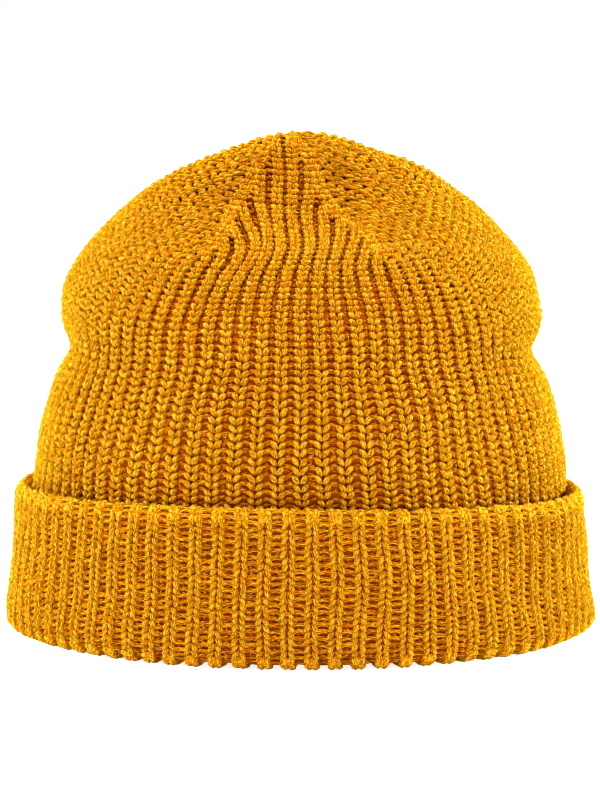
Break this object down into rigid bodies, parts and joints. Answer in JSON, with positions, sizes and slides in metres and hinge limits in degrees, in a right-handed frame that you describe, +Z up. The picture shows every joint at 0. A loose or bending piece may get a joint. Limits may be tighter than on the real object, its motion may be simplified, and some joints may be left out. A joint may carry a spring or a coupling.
{
  "type": "wool beanie",
  "caption": "Ribbed knit wool beanie with a soft gathered crown and a thick turned-up cuff, standing open side down.",
  "frame": {"origin": "on the surface that the hat stands on, under the middle of its rim", "axes": "+Z up through the tip of the crown, -Y out of the front of the hat, +X to the wearer's left"},
  "size_m": [0.1906, 0.2026, 0.16],
  "materials": {
    "crown_knit": "soft fuzzy ribbed wool knit, amber yellow, matte",
    "cuff_knit": "soft fuzzy ribbed wool knit turned over, amber yellow, matte"
  },
  "bodies": {
    "root": {"crown": "crown_knit", "cuff": "cuff_knit"}
  },
  "joints": []
}
